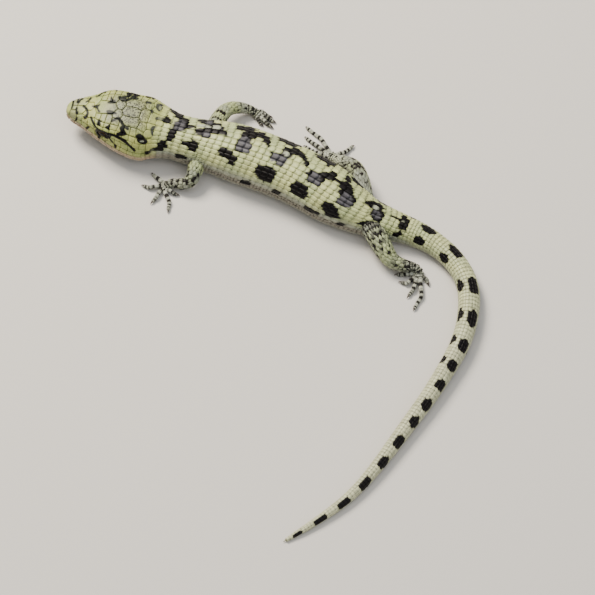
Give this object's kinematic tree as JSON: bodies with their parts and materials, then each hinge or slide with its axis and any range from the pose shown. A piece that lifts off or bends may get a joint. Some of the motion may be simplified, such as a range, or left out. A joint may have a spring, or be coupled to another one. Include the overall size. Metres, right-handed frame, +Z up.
{
  "type": "mixteca arboreal alligator lizard",
  "caption": "Life-size still model of an arboreal alligator lizard lying on its belly, head raised a little, legs splayed, long tail curved round to its left.",
  "frame": {"origin": "middle of the animal's box on the floor that it rests on", "axes": "+Z up; the head lies towards -X and +Y, the tail runs back along +X and round to -Y, so the lizard's left side faces -Y"},
  "size_m": [0.1048, 0.1244, 0.0122],
  "materials": {
    "pale_scales": "bony scales, satin, pale green with black saddles and spots",
    "grey_scales": "small scales, satin, mottled pale grey and black",
    "eye": "wet gloss"
  },
  "bodies": {
    "root": {"head": "pale_scales", "lower_jaw": "pale_scales", "neck": "pale_scales", "chest": "pale_scales", "belly": "pale_scales", "pelvis": "pale_scales", "tail_1": "pale_scales", "tail_2": "pale_scales", "tail_3": "pale_scales", "tail_4": "pale_scales", "tail_5": "pale_scales", "tail_6": "pale_scales", "left_upper_arm": "grey_scales", "left_forearm": "grey_scales", "left_hand": "grey_scales", "left_thigh": "grey_scales", "left_shin": "grey_scales", "left_foot": "grey_scales", "right_upper_arm": "grey_scales", "right_forearm": "grey_scales", "right_hand": "grey_scales", "right_thigh": "grey_scales", "right_shin": "grey_scales", "right_foot": "grey_scales", "eye_left": "eye", "eye_right": "eye"}
  },
  "joints": []
}
